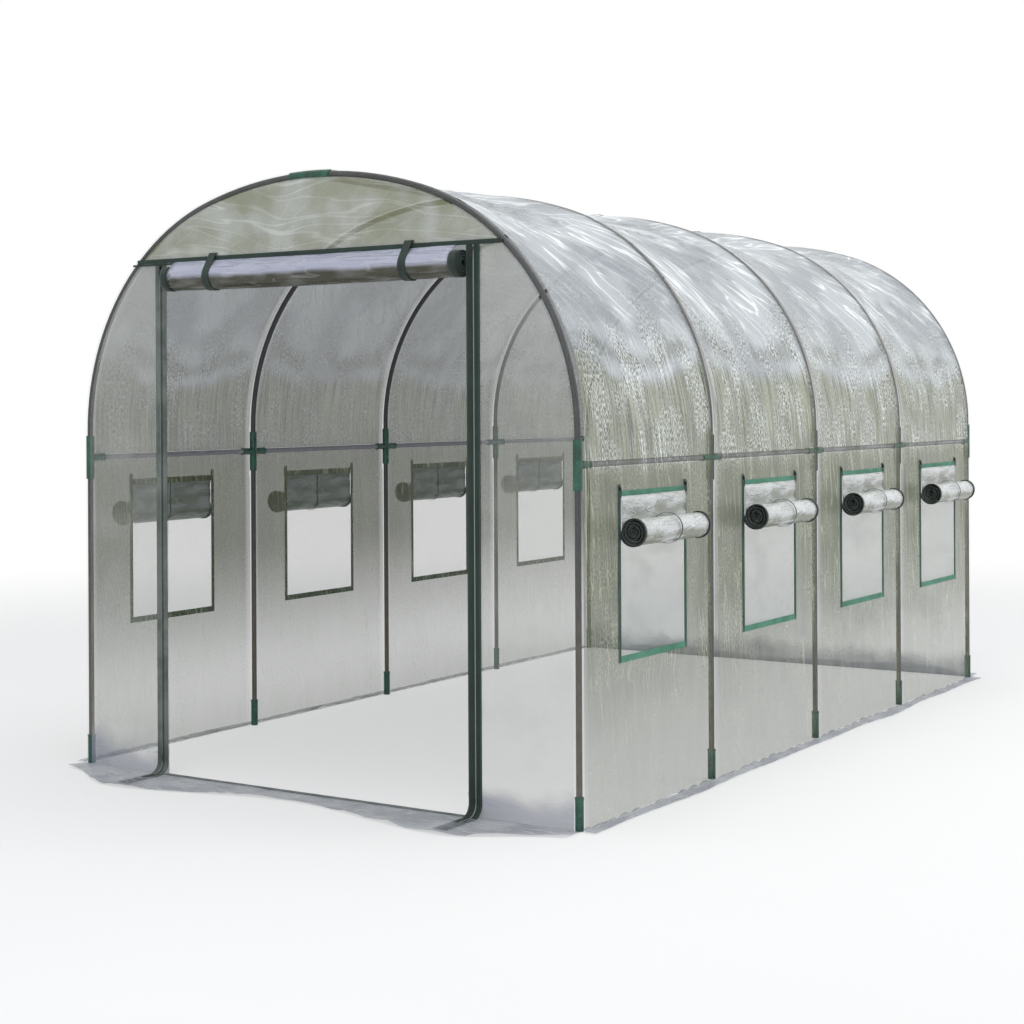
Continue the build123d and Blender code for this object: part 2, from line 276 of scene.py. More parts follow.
def cover_finish():
    """Misted, creased film: creases lie along the ridge, droop over the shoulders and run down the walls."""
    f = Finish("creased_cover_film", roughness=0.3)
    _, y, z = f.split(f.place())
    u, v, _ = f.split(f.cloth())
    down = f.maths("ABSOLUTE", v)
    spread = f.joined(u, down)
    sway = f.flat_noise(spread, 3.2, 1.0)
    bent = f.joined(f.times_plus(sway, 0.15, u), f.times_plus(sway, 0.17, down))
    along = f.streaks(bent, 9, 0.50, 0.085, 3.0, 1.5)
    falling = f.streaks(bent, 52, 0.36, 0.070, 9.0, 1.5)
    hanging = f.streaks(spread, 85, 0.42, 0.030, 5.0)
    on_top = f.steps(down, 0.80, 0.35)
    on_wall = f.steps(down, 0.95, 1.25)
    between_them = f.maths("SUBTRACT", 1.0, f.maths("ADD", on_top, on_wall), clamp=True)
    streak = f.times(f.times_plus(f.crease(along, 0.16), 0.26, f.crease(along, 0.050)), on_top)
    fallen = f.times_plus(f.crease(falling, 0.17), 0.24, f.crease(falling, 0.052))
    streak = f.times_plus(fallen, between_them, streak)
    streak = f.times_plus(f.crease(hanging, 0.05), f.times(on_wall, 0.6), streak)
    cloud = f.flat_noise(spread, 3.4, 2.0)
    streak = f.times(streak, f.steps(cloud, 0.34, 0.60, 0.2, 1.0))
    from_hoop = hoop_distance(f, y)
    share = f.maths("DIVIDE", from_hoop, bay_length / 2)
    hung = f.times_plus(f.maths("POWER", f.minus(1.0, share), 2.0), -0.09, z)
    runs = f.streaks(spread, 87, 0.30, 0.007)
    level = f.times_plus(runs, 0.10, f.times_plus(cloud, 0.12, hung))
    arc = f.gap(level, 1.515)
    smile = f.times(f.steps(arc, 0.015, 0.045, 1.0, 0.0), f.steps(sway, 0.36, 0.50))
    grain = f.flat_noise(f.scaled(spread, 230.0, 80.0), 1.0, 1.0)
    patches = f.flat_noise(f.scaled(spread, 9.0, 5.0), 1.0, 1.0)
    misted = f.times(f.steps(level, 1.78, 1.48, 0.12, 1.0), f.steps(patches, 0.38, 0.62, 0.25, 1.2))
    under_rail = f.steps(z, rail_height + 0.02, rail_height - 0.06)
    misted = f.times(misted, f.times_plus(under_rail, -0.45, 1.0))
    bright = f.times(f.steps(grain, 0.46, 0.60), misted)
    dull = f.times(f.steps(grain, 0.54, 0.40), misted)
    wall_tint = f.blend(runs, 0.36, 0.64, srgb(56, 63, 36), srgb(132, 138, 108))
    roof_tint = f.blend(cloud, 0.35, 0.65, srgb(138, 145, 151), srgb(178, 184, 188))
    wall_tint = f.mix(f.times(under_rail, 0.8), wall_tint, srgb(62, 70, 36))
    body = f.blend(level, 1.40, 1.46, wall_tint, roof_tint)
    # Painted shade: the dark arcs where the film sags between the hoops; the darker specks mixed in here are mist.
    specks_and_sag_shade = f.times_plus(dull, 0.5, f.times(smile, 0.55), clamp=True)
    body = f.mix(specks_and_sag_shade, body, srgb(66, 72, 56))
    # Painted shade: a dark grey band along each hoop stands for the tube seen through the film and the shade beside it.
    off_hoop = f.steps(from_hoop, 0.012, 0.026)
    body = f.mix(off_hoop, srgb(78, 79, 76), body)
    # Painted highlight: the white crease streaks stand for highlights on the creases as well as the film's own
    # whitening along them; the bright specks are mist.
    milk_and_highlight = f.times_plus(bright, 0.45, f.times(streak, 0.66), clamp=True)
    milk_and_highlight = f.times(milk_and_highlight, f.times_plus(off_hoop, 0.85, 0.15))
    f.colour(f.mix(milk_and_highlight, body, f.mix(under_rail, srgb(238, 241, 240), srgb(206, 212, 186))))
    base = f.steps(z, 0.15, 0.75, 0.36, 0.85)
    f.alpha(f.times(f.times_plus(milk_and_highlight, 0.22, base), seated_share(f, from_hoop, y, z)))
    f.rough(f.steps(cloud, 0.3, 0.7, 0.22, 0.42))
    f.bump(grain, 0.0015, 0.6)
    return f.material


def panel_finish():
    """The flatter film of the two ends: smoke-grey haze with long shallow creases."""
    f = Finish("end_panel_film", roughness=0.28)
    metres = f.cloth()
    z = f.split(f.place())[2]
    u, v, _ = f.split(metres)
    sway = f.flat_noise(metres, 2.4, 1.0)
    bent = f.joined(u, f.times_plus(sway, 0.14, v))
    lines = f.creases(bent, -5, 0.6, 0.05, 0.05, 2.0, 1.5)
    fans = f.creases(bent, 28, 0.35, 0.05, 0.04, 6.0)
    above = f.steps(z, seam_z - 0.01, seam_z + 0.02, 0.15, 1.0)
    cloud = f.flat_noise(metres, 5.0, 2.0)
    grain = f.flat_noise(f.scaled(metres, 110.0, 190.0), 1.0, 1.0)
    streak = f.times(f.maths("MAXIMUM", lines, f.times(fans, 0.35)), above)
    streak = f.times(streak, f.steps(cloud, 0.3, 0.65, 0.15, 0.5))
    inset = f.add("Attribute", attribute_name="inset").outputs["Fac"]
    tint = f.blend(cloud, 0.35, 0.65, srgb(154, 157, 122), srgb(194, 197, 186))
    tint = f.blend(z, seam_z - 0.05, seam_z + 0.05, srgb(190, 192, 186), tint)
    low = f.steps(f.times_plus(cloud, -0.12, z), 0.07, -0.02)
    tint = f.mix(low, tint, srgb(142, 146, 162))
    body = f.mix(f.times(f.steps(grain, 0.5, 0.3), f.steps(z, 1.2, 1.8, 0.05, 0.2)), tint, srgb(96, 100, 76))
    # Painted highlight: the white crease streaks stand for highlights on the creases as well as the film's own
    # whitening along them.
    f.colour(f.mix(streak, body, srgb(232, 236, 232)))
    on_tube = f.steps(inset, 0.0205, 0.0245, 0.1, 1.0)
    base = f.steps(z, 1.2, 1.8, 0.20, 0.55)
    base = f.times_plus(low, 0.45, base)
    hazy = f.times_plus(streak, 0.2, f.times_plus(f.steps(cloud, 0.45, 0.8), 0.12, base))
    f.alpha(f.times(hazy, on_tube))
    f.bump(f.times_plus(grain, 0.3, cloud), 0.003, 0.5)
    return f.material


def ground_finish():
    """Film that lies on the ground: bluish grey, dusty, crumpled."""
    f = Finish("ground_flap_film", roughness=0.34)
    metres = f.cloth()
    cloud = f.flat_noise(metres, 7.0, 2.0)
    lines = f.creases(metres, 6, 0.3, 0.05, 0.03)
    dust = f.flat_noise(metres, 120.0, 2.0)
    body = f.blend(cloud, 0.35, 0.65, srgb(136, 144, 156), srgb(176, 182, 190))
    lit = f.mix(f.times(lines, 0.5), body, srgb(224, 226, 228))
    f.colour(f.mix(f.steps(dust, 0.6, 0.75, 0.0, 0.2), lit, srgb(134, 126, 104)))
    f.alpha(f.times_plus(lines, 0.15, 0.46))
    f.bump(f.times_plus(cloud, 2.0, dust), 0.003, 0.5)
    return f.material


def rolled_finish(name, top, under, pale, speck, clouded_edge=0.5, turn=-0.05):
    """Film rolled many turns deep, so it reads as solid: pale above and darker below, as painted light and shading."""
    f = Finish(name, roughness=0.24)
    metres = f.cloth()
    facing = f.split(f.add("NewGeometry").outputs["Normal"])[2]
    cloud = f.flat_noise(f.scaled(metres, 7.0, 22.0), 1.0, 2.0, 0.6)
    lines = f.creases(metres, 4, 0.28, 0.03, 0.05)
    specks = f.flat_noise(metres, 170.0, 2.0)
    # Painted light and shade: the top colour where the roll faces up, the under colour where it faces down.
    body = f.blend(f.times_plus(cloud, clouded_edge, facing), turn, turn + 0.5, under, top)
    clouded = f.mix(f.steps(cloud, 0.4, 0.75, 0.0, pale), body, srgb(222, 224, 228))
    lined = f.mix(f.times(lines, pale), clouded, srgb(240, 242, 246))
    f.colour(f.mix(f.steps(specks, 0.56, 0.70, 0.0, speck), lined, srgb(92, 96, 84)))
    f.rough(f.steps(cloud, 0.3, 0.7, 0.18, 0.36))
    f.bump(f.times_plus(cloud, 1.5, lines), 0.003, 0.7)
    return f.material


# Tapes and net
def webbing_finish(name, dark, light, rough=0.75):
    """Woven tape: a fine twill, a little faded in places."""
    f = Finish(name, roughness=rough, sheen=0.15)
    weave, fade = woven(f)
    body = f.blend(fade, 0.3, 0.7, dark, light)
    f.colour(f.mix(f.times(weave, 0.45), body, light))
    f.bump(f.times_plus(fade, 0.6, weave), 0.0006, 0.7)
    return f.material


def woven(f):
    place = f.place()
    twill = f.add("TexWave", {"Vector": place, "Scale": 190.0, "Distortion": 0.4}, bands_direction="DIAGONAL")
    turned = f.scaled(place, -1.0, 1.0, 1.0)
    cross = f.add("TexWave", {"Vector": turned, "Scale": 240.0, "Distortion": 0.4}, bands_direction="DIAGONAL")
    return f.times(twill.outputs["Fac"], cross.outputs["Fac"]), f.noise(place, 14.0, 3.0)


def jamb_finish():
    """The door's green jamb tapes, with a pale line down their middle, a painted highlight along the zip, and a
    bleached left side.
    """
    f = Finish("door_jamb_webbing", roughness=0.7, sheen=0.05)
    weave, fade = woven(f)
    x, _, z = f.split(f.place())
    across = f.minus(f.maths("ABSOLUTE", x), door_half)
    stitch_inset, stitch_length = 0.003, 0.0025
    body = f.blend(fade, 0.3, 0.7, srgb(9, 27, 22), srgb(20, 42, 35))
    body = f.mix(f.times(weave, 0.3), body, srgb(32, 60, 50))
    faded = f.blend(fade, 0.3, 0.7, srgb(86, 94, 90), srgb(124, 130, 126))
    sided = f.mix(f.steps(x, 0.01, -0.01, 0.0, 0.8), body, faded)
    # Painted highlight: a thin pale line along the zip.
    from_highlight_line = f.gap(across, jamb_width * 0.56)
    lined = f.mix(f.steps(from_highlight_line, 0.0007, 0.0016, 0.9, 0.0), sided, srgb(168, 182, 174))
    from_groove = f.gap(across, jamb_width * 0.40)
    grooved = f.mix(f.steps(from_groove, 0.001, 0.003, 0.6, 0.0), lined, srgb(8, 24, 20))
    far_side = f.gap(across, jamb_width - stitch_inset)
    seam = f.steps(f.maths("MINIMUM", f.gap(across, stitch_inset), far_side), 0.0005, 0.0011, 1.0, 0.0)
    stitch = f.times(seam, f.steps(f.maths("PINGPONG", z, stitch_length), 0.0006, 0.001))
    f.colour(f.mix(f.times(stitch, 0.7), grooved, srgb(74, 118, 102)))
    f.bump(f.times_plus(stitch, 1.5, weave), 0.0006, 0.7)
    return f.material


def window_tape_finish():
    """The window's mid-green top and bottom tapes, and the darker zips down its sides."""
    f = Finish("window_tape_webbing", roughness=0.72, sheen=0.15)
    weave, fade = woven(f)
    y = f.split(f.place())[1]
    from_middle = f.minus(bay_length / 2, hoop_distance(f, y))
    tape = f.blend(fade, 0.3, 0.7, srgb(30, 98, 74), srgb(62, 132, 106))
    zips = f.blend(fade, 0.3, 0.7, srgb(14, 46, 36), srgb(36, 82, 66))
    at_side = f.steps(from_middle, window_width / 2 - 0.0005, window_width / 2 + 0.0005)
    body = f.mix(at_side, tape, zips)
    coil = f.gap(from_middle, window_width / 2 + zip_gap)
    lined = f.mix(f.steps(coil, 0.0016, 0.0026, 0.6, 0.0), body, srgb(8, 22, 18))
    f.colour(f.mix(f.times(weave, 0.35), lined, srgb(78, 146, 120)))
    f.bump(f.times_plus(fade, 0.6, weave), 0.0006, 0.7)
    return f.material


def net_finish():
    """Fine insect net: thin green-grey threads with clear gaps between them."""
    f = Finish("window_net_mesh", roughness=0.7)
    metres = f.cloth()
    pitch = 0.0026
    threads = [
        f.steps(f.maths("PINGPONG", along, pitch / 2), 0.00012, 0.0004, 1.0, 0.0) for along in f.split(metres)[:2]
    ]
    thread = f.maths("MAXIMUM", *threads)
    fade = f.noise(metres, 22.0, 2.0)
    f.colour(f.mix(fade, srgb(92, 106, 96), srgb(138, 150, 138)))
    f.alpha(f.times_plus(thread, 0.62, 0.02))
    f.bump(thread, 0.0004, 0.5)
    return f.material


# Frame
def tube_finish(name, dark, light):
    """Powder-coated steel tube with a fine orange-peel skin, dusty near the ground."""
    f = Finish(name, roughness=0.4, metallic=0.1)
    f.skin.inputs["Specular IOR Level"].default_value = 0.4
    place = f.place()
    z = f.split(place)[2]
    mottle = f.noise(place, 24.0, 3.0, 0.6)
    peel = f.noise(place, 900.0, 1.0)
    dust = f.steps(z, 1.0, 0.2)
    earthy = f.mix(mottle, srgb(88, 82, 72), srgb(120, 112, 100))
    f.colour(f.mix(f.times(dust, 0.7), f.mix(mottle, dark, light), earthy))
    f.rough(f.steps(mottle, 0.3, 0.7, 0.34, 0.5))
    f.bump(f.times_plus(peel, 0.2, mottle), 0.0005, 0.4)
    return f.material


def moulded_finish():
    """Green moulded polypropylene: satin, faintly grained, paler where it is rubbed."""
    f = Finish("green_moulded_plastic", roughness=0.4)
    place = f.place()
    flow = f.noise(place, 30.0, 3.0)
    grain = f.noise(place, 1300.0, 2.0)
    rubbed = f.steps(f.noise(place, 70.0, 4.0, 0.6), 0.56, 0.7, 0.0, 0.35)
    body = f.blend(flow, 0.3, 0.7, srgb(20, 62, 49), srgb(38, 90, 71))
    f.colour(f.mix(rubbed, body, srgb(80, 134, 112)))
    f.rough(f.steps(flow, 0.3, 0.7, 0.32, 0.5))
    f.bump(f.times_plus(grain, 0.3, flow), 0.0005, 0.5)
    return f.material


def teeth_finish():
    """Dark nylon zip teeth."""
    f = Finish("zip_teeth_nylon", roughness=0.38)
    place = f.place()
    fleck = f.noise(place, 420.0, 2.0)
    f.colour(f.mix(fleck, srgb(20, 34, 28), srgb(52, 74, 62)))
    f.bump(fleck, 0.0003, 0.4)
    return f.material


def slider_finish():
    """Blackened zinc of the zip sliders, worn bright at the corners."""
    f = Finish("slider_metal", roughness=0.36, metallic=0.7)
    place = f.place()
    wear = f.noise(place, 260.0, 3.0)
    f.colour(f.blend(wear, 0.5, 0.7, srgb(38, 40, 40), srgb(112, 114, 112)))
    f.rough(f.steps(wear, 0.4, 0.7, 0.42, 0.25))
    f.bump(wear, 0.0003, 0.3)
    return f.material


finishes = {
    "cover": cover_finish(),
    "panel": panel_finish(),
    "ground": ground_finish(),
    # The top and under colours of the rolls are painted light and painted shade.
    "door_film": rolled_finish(
        "rolled_door_film", srgb(172, 175, 194), srgb(54, 54, 36), 0.12, 0.2, clouded_edge=0.2, turn=-0.15
    ),
    "flap_film": rolled_finish("rolled_flap_film", srgb(190, 193, 190), srgb(128, 131, 116), 0.55, 0.6),
    "webbing": webbing_finish("dark_green_webbing", srgb(10, 31, 25), srgb(22, 49, 40)),
    "sill": webbing_finish("dusty_sill_webbing", srgb(66, 78, 76), srgb(118, 126, 124), 0.8),
    "jamb": jamb_finish(),
    "window_tape": window_tape_finish(),
    "binding": webbing_finish("black_green_binding", srgb(12, 20, 18), srgb(34, 50, 44), 0.6),
    "elastic": webbing_finish("grey_elastic", srgb(40, 50, 46), srgb(82, 92, 86)),
    "net": net_finish(),
    "hoop_tube": tube_finish("graphite_coated_tube", srgb(46, 48, 50), srgb(78, 80, 82)),
    "rail_tube": tube_finish("grey_coated_tube", srgb(112, 112, 120), srgb(146, 144, 152)),
    "moulded": moulded_finish(),
    "teeth": teeth_finish(),
    "slider": slider_finish(),
}


# Meshes
def activate(piece):
    bpy.ops.object.select_all(action="DESELECT")
    piece.select_set(True)
    bpy.context.view_layer.objects.active = piece


def apply_modifier(piece, kind, **settings):
    activate(piece)
    modifier = piece.modifiers.new(kind.lower(), kind)
    for name, value in settings.items():
        setattr(modifier, name, value)
    bpy.ops.object.modifier_apply(modifier=modifier.name)


def made_sheet(name, points, faces, flat_places, finish, thickness=film_thickness, insets=None):
    """A sheet from points on its middle, closed where it has a thickness, with its cut size in metres as its UV map."""
    mesh = bpy.data.meshes.new(name)
    mesh.from_pydata(points, [], faces)
    layer = mesh.uv_layers.new(name="cut")
    for loop in mesh.loops:
        layer.data[loop.index].uv = flat_places[loop.vertex_index]
    if insets:
        attribute = mesh.attributes.new("inset", "FLOAT", "POINT")
        attribute.data.foreach_set("value", insets)
    piece = bpy.data.objects.new(name, mesh)
    bpy.context.collection.objects.link(piece)
    mesh.materials.append(finishes[finish])
    if thickness:
        apply_modifier(piece, "SOLIDIFY", thickness=thickness, offset=0.0)
    piece.data.polygons.foreach_set("use_smooth", [True] * len(piece.data.polygons))
    return piece


def grid_sheet(name, rows, columns, spot, finish, thickness=film_thickness, flipped=False, left_out=None):
    """A sheet over rows and columns, from a rule that gives each point and its place in the flat cut."""
    points, flat_places = zip(*[spot(row, column) for row in rows for column in columns])
    across = len(columns)
    faces = []
    for i in range(len(rows) - 1):
        for j in range(across - 1):
            if left_out and left_out(rows[i:i + 2], columns[j:j + 2]):
                continue
            a = i * across + j
            face = (a, a + 1, a + across + 1, a + across)
            faces.append(tuple(reversed(face)) if flipped else face)
    return made_sheet(name, list(points), faces, flat_places, finish, thickness)


def joined_pieces(name, parts):
    """Several finished objects as one piece."""
    activate(parts[0])
    for part in parts:
        part.select_set(True)
    if len(parts) > 1:
        bpy.ops.object.join()
    parts[0].name = name
    parts[0].data.name = name
    return parts[0]


def hand_in(piece, slot, *nodes):
    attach(piece, "root")
    if nodes:
        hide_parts(*nodes)


def between(value, pairs):
    """The value that a short list of (place, size) pairs gives, eased between them."""
    for (low, first), (high, second) in zip(pairs, pairs[1:]):
        if value <= high:
            share = (value - low) / (high - low)
            return first + (second - first) * (3 - 2 * share) * share * share
    return pairs[-1][1]


def drift(x, y, z):
    """Smooth noise at a place, from about -1 to 1."""
    return noise.noise(Vector((x, y, z)))


def ridge(x, y, z, sharpness):
    """A crease wherever the noise crosses zero: 1 on its line and 0 away from it."""
    return max(0.0, 1 - abs(drift(x, y, z)) * sharpness) ** 2


def spaced(start, length, count):
    """The ends of a number of even parts of a length."""
    return [start + length * i / count for i in range(count + 1)]


def stepped(marks, cell):
    """Even steps of about a cell from each mark to the next, without the last mark."""
    places = []
    for start, end in zip(marks, marks[1:]):
        count = max(1, round((end - start) / cell))
        places += [start + (end - start) * i / count for i in range(count)]
    return places


# Cover
crown_run = (crown_radius + cover_offset) * (math.pi / 2 - shoulder_turn)
shoulder_run = (shoulder_radius + cover_offset) * shoulder_turn
cover_run = crown_run + shoulder_run + leg_height


def arch_place(run, offset):
    """Point across the tunnel and outward direction at a run down the right side from the ridge."""
    if run <= crown_run:
        angle = math.pi / 2 - run / (crown_radius + cover_offset)
        centre, radius = (0.0, crown_centre), crown_radius
    elif run <= crown_run + shoulder_run:
        angle = shoulder_turn - (run - crown_run) / (shoulder_radius + cover_offset)
        centre, radius = (shoulder_x, leg_height), shoulder_radius
    else:
        return (half_span + offset, cover_run - run), (1.0, 0.0)
    out = (math.cos(angle), math.sin(angle))
    return (centre[0] + (radius + offset) * out[0], centre[1] + (radius + offset) * out[1]), out


def seat_rise(run, y):
    """How far out the tubes and their sleeves hold the film, or a deep negative value clear of them."""
    to_hoop = abs(y - min(hoop_places, key=lambda place: abs(y - place)))
    to_rail = min(run, abs(run - (cover_run - rail_height)))
    slope, sleeve_slope, sleeve_half, branch_half = 0.35, 0.4, 0.082, 0.085
    rise = max(tube_seat - to_hoop * slope, tube_seat - to_rail * slope)
    past_sleeve = max(0.0, to_rail - sleeve_half)
    past_branch = max(0.0, to_hoop - branch_half)
    rise = max(rise, sleeve_seat - to_hoop * sleeve_slope - past_sleeve * 0.25)
    return max(rise, sleeve_seat - 0.002 - to_rail * sleeve_slope - past_branch * 0.2)


def window_hold(y, height):
    """How firmly a window's sewn frame holds the film flat: 1 at its edges, falling to 0 away from it."""
    frame_width, held_width = 0.02, 0.08
    beside = min(abs(y - place) for place in bay_places) - window_width / 2 - frame_width
    above = max(window_low - frame_width - height, height - window_high - frame_width)
    away = max(0.0, math.hypot(max(beside, 0.0), max(above, 0.0)))
    share = max(0.0, 1 - away / held_width)
    return (3 - 2 * share) * share * share


def cover_folds(side, run, y):
    """How far the film stands out of its smooth line: sag between the hoops, creases and crumples."""
    bay = min(max((y - front_y) / bay_length, 0.0), bay_count - 1e-6)
    share = bay % 1
    sag = between(run, cover_sag) * 4 * share * (1 - share)
    fade = min(1.0, math.sin(math.pi * share) * 1.6)
    roof = 1 - between(run, [(0, 0.0), (1.0, 0.05), (1.55, 1.0), (3, 1.0)])
    turn = math.radians(between(run, [(0, 5.0), (0.5, 20.0), (1.1, 50.0), (1.5, 80.0), (3, 84.0)]))
    lengthwise = y * math.cos(turn) + run * math.sin(turn)
    crosswise = run * math.cos(turn) - y * math.sin(turn)
    seed = side * 31.7 + int(bay) * 5.3
    long_crease = ridge(crosswise * 7.5, lengthwise * 1.2, seed, 5) * 0.007
    small_crease = ridge(crosswise * 17, lengthwise * 2.4, seed + 9, 6) * 0.0025
    hanging = ridge(y * 8.5, run * 0.8, seed, 5) * 0.005
    wave = drift(y * 4.2, run * 2.2, seed) * 0.004
    height = cover_run - run
    crumpled_height = 0.22
    base = max(0.0, 1 - height / crumpled_height)
    crumple = drift(y * 17, height * 9, seed) * 0.012 * base
    folds = (roof * (long_crease + small_crease) + (1 - roof) * hanging + wave) * fade
    free = max(cover_offset + folds - sag - abs(crumple) * fade, seat_rise(run, y))
    held = window_hold(y, height)
    return free + (taped_offset - free) * held - cover_offset


def film_cover():
    """The cover over the hoops, one sheet from ground to ground, cut out at the windows."""
    half = window_width / 2
    y_lines = [front_y - cover_offset]
    for place, middle in zip(hoop_places, bay_places):
        y_lines += stepped([place, middle - half, middle + half, place + bay_length], film_cell)
    y_lines += [hoop_places[-1], hoop_places[-1] + cover_offset]
    shoulder_end = crown_run + shoulder_run
    turning = [0, crown_run, shoulder_end, cover_run - window_high, cover_run - window_low, cover_run]
    run_lines = stepped(turning, film_cell) + [cover_run]
    runs = [(-1, run) for run in reversed(run_lines[1:])] + [(1, run) for run in run_lines]

    def spot(place, y):
        side, run = place
        (x, z), out = arch_place(run, cover_offset)
        rise = cover_folds(side, run, y)
        return (side * (x + out[0] * rise), y, z + out[1] * rise), (y, side * run)

    def in_window(places, ys):
        height = cover_run - (places[0][1] + places[1][1]) / 2
        middle = (ys[0] + ys[1]) / 2
        return window_low < height < window_high and any(abs(middle - place) < half for place in bay_places)

    cover = grid_sheet("film_cover", runs, y_lines, spot, "cover", thickness=0, left_out=in_window)
    roof_films = [f"roof_film_{i + 1}" for i in range(bay_count)]
    hand_in(cover, "clear_film", "left_wall_film", "right_wall_film", *roof_films)


# End panels
def edge_distance(x, z):
    """How far a point of an end lies inside the cover's arched edge."""
    x = abs(x)
    if z <= leg_height:
        return half_span + cover_offset - x
    if math.atan2(z - leg_height, x - shoulder_x) <= shoulder_turn:
        return shoulder_radius + cover_offset - math.hypot(x - shoulder_x, z - leg_height)
    return crown_radius + cover_offset - math.hypot(x, z - crown_centre)


def arch_outline(inset):
    """Points along the arch at an inset from its edge, from the right foot to the left."""
    count = round(cover_run / panel_cell)
    right = []
    for i in range(count + 1):
        (x, z), _ = arch_place(cover_run * (1 - i / count), cover_offset - inset)
        right.append((x, z))
    return right + [(-x, z) for x, z in reversed(right[:-1])]


def flat_area(corners):
    total = 0.0
    for a, b in zip(corners, corners[1:] + corners[:1]):
        total += a.x * b.y - b.x * a.y
    return abs(total) / 2


def cut_film(outline, inside, seed, flipped, extra=()):
    """Flat triangles that fill an outline, with loose points inside it and rows of extra points."""
    chance = random.Random(seed)
    cell, wander, room, row_height = panel_cell, 0.2, 0.55, 0.87
    low = Vector((min(p[0] for p in outline), min(p[1] for p in outline)))
    high = Vector((max(p[0] for p in outline), max(p[1] for p in outline)))
    points = [Vector(p) for p in outline]
    edges = [(i, (i + 1) % len(outline)) for i in range(len(outline))]
    points += [Vector(p) for p in extra]
    row = 0
    z = low.y + cell / 2
    while z < high.y:
        x = low.x + (cell / 2 if row % 2 else 0)
        while x < high.x:
            spot = (x + chance.uniform(-wander, wander) * cell, z + chance.uniform(-wander, wander) * cell)
            if inside(*spot) > cell * room:
                points.append(Vector(spot))
            x += cell
        z += cell * row_height
        row += 1
    found, _, triangles, *_ = delaunay_2d_cdt(points, edges, [], 1, 1e-6)
    faces = []
    for face in triangles:
        middle = sum((found[i] for i in face), Vector((0, 0))) / len(face)
        if inside(*middle) > 0:
            faces.append(tuple(reversed(face)) if flipped else tuple(face))
    return found, faces, sum(flat_area([found[i] for i in face]) for face in faces)


def edge_points(corners):
    """Points about a cell apart along straight edges, without the last corner."""
    points = []
    for start, end in zip(corners, corners[1:]):
        count = max(1, round(math.dist(start, end) / panel_cell))
        points += [tuple(a + (b - a) * i / count for a, b in zip(start, end)) for i in range(count)]
    return points


def end_folds(x, z, seed):
    """Creases of an end panel: they fan from the top corners of the doorway and lie level over it."""
    level = ridge(x * 1.3, z * 11 + x * 1.5, seed, 5) * 0.004
    small = ridge(x * 6, z * 9, seed + 4, 6) * 0.0015
    wave = drift(x * 3, z * 3, seed) * 0.004
    crumpled_height = 0.2
    foot = max(0.0, 1 - z / crumpled_height) * abs(drift(x * 14, z * 9, seed)) * 0.008
    return level + small + wave + foot


def end_panel(name, y, side, doorway, seed, *nodes):
    """The film of one end, gathered on its hoop, with or without the doorway cut out."""
    def inside(x, z):
        room = min(edge_distance(x, z), z)
        return min(room, max(abs(x) - door_half, z - seam_z)) if doorway else room

    arch = arch_outline(0)
    corners = [(arch[-1][0], 0), (arch[0][0], 0)]
    if doorway:
        corners[1:1] = [(-door_half, 0), (-door_half, seam_z), (door_half, seam_z), (door_half, 0)]
    outline = arch[:-1] + edge_points(corners)
    tube_rows = (0.0095, 0.020, 0.025, 0.034)
    rows = [p for inset in tube_rows for p in arch_outline(inset) if inside(*p) > 0.004]
    found, faces, whole = cut_film(outline, inside, seed, side > 0, rows)
    points, insets = [], []
    for p in found:
        room = edge_distance(p.x, p.y)
        free = min(1.0, max(0.0, (room - 0.024) / 0.06))
        points.append((p.x, y + side * end_folds(p.x, p.y, seed) * free, p.y))
        insets.append(room)
    panel = made_sheet(name, points, faces, [tuple(p) for p in found], "panel", thickness=0, insets=insets)
    hand_in(panel, "clear_film", *nodes)


# Ground flaps
def ground_flap(name, side, seed, node):
    """The film that runs on from an end over the ground, deepest beside the jambs."""
    low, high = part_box(node)
    depth = high.y - low.y
    edge = half_span + cover_offset
    start = film_front * -side
    reaches = [(0, 0.11), (0.66, depth - 0.001), (edge, 0.085)]

    def reach(x):
        return between(abs(x), reaches)

    def inside(x, out):
        return min(edge - abs(x), out, reach(x) - out)

    count = round(2 * edge / panel_cell)
    far = [(edge - 2 * edge * i / count, reach(edge - 2 * edge * i / count)) for i in range(count)]
    near = edge_points([(-edge, 0), (edge, 0), (edge, reach(edge))])
    left = edge_points([(-edge, reach(edge)), (-edge, 0)])
    found, faces, whole = cut_film(near + far + left, inside, seed, side < 0)
    points = []
    for p in found:
        lift = abs(drift(p.x * 5.5, p.y * 11, seed)) * 0.014
        lift += ridge(p.x * 9, p.y * 14, seed + 2, 5) * 0.004
        points.append((p.x, start + side * p.y, ground_rest + lift * min(1.0, p.y / 0.05)))
    flap = made_sheet(name, points, faces, [tuple(p) for p in found], "ground")
    hand_in(flap, "clear_film", node)
    min(whole, 2 * edge * depth)


def side_hem(name, side, seed, node):
    """The narrow hem of a long wall's film, crumpled along the ground."""
    low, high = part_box(node)
    root = min(abs(low.x), abs(high.x))
    width = high.x - low.x
    ys = stepped([low.y, high.y], hem_cell) + [high.y]

    def spot(out, y):
        wander = 1 + 0.5 * drift(y * 2.3, 0, seed)
        lift = abs(drift(y * 13, out * 30, seed)) * 0.016 * (1 - out / width * 0.7)
        return (side * (root + out * wander), y, ground_rest + lift), (y, out)

    hem = grid_sheet(name, spaced(0, width, 4), ys, spot, "ground", flipped=side > 0)
    hand_in(hem, "clear_film", node)


# Rolls
def spiral(radius, core, turns, start):
    """A rolled sheet's section from its outer turn in to its core, as (across, up) about its middle."""
    count = round(turns * 30)
    places = []
    for i in range(count + 1):
        share = i / count
        angle = start + 2 * math.pi * turns * share
        reach = radius + (core - radius) * share
        places.append((reach * math.cos(angle), reach * math.sin(angle)))
    return places


def wound_turns(wound, radius, core):
    """How many turns take up a length of film between two radii."""
    return wound / (math.pi * (radius + core))


